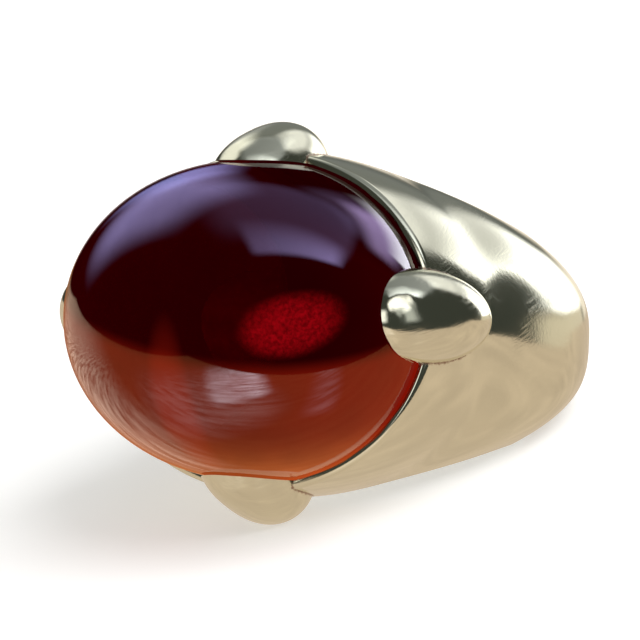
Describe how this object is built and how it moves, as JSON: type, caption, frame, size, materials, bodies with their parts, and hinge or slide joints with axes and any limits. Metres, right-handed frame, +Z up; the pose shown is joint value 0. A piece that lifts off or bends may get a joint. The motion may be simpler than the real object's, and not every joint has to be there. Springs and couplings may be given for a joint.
{
  "type": "cabochon ring",
  "caption": "Gold finger ring lying on its side, with an oval domed red stone in a cup under domed claws.",
  "frame": {"origin": "on the surface that the ring lies on, under the middle of its bounding box", "axes": "+Z up; -Y is the side the stone faces, raised from the surface by the way the ring rests; X runs across the ring from shoulder to shoulder"},
  "size_m": [0.0268, 0.0328, 0.0215],
  "materials": {
    "gold": "polished pale yellow gold with fine wear",
    "garnet": "clear deep red, polished"
  },
  "bodies": {
    "root": {"band": "gold", "stone": "garnet"}
  },
  "joints": []
}
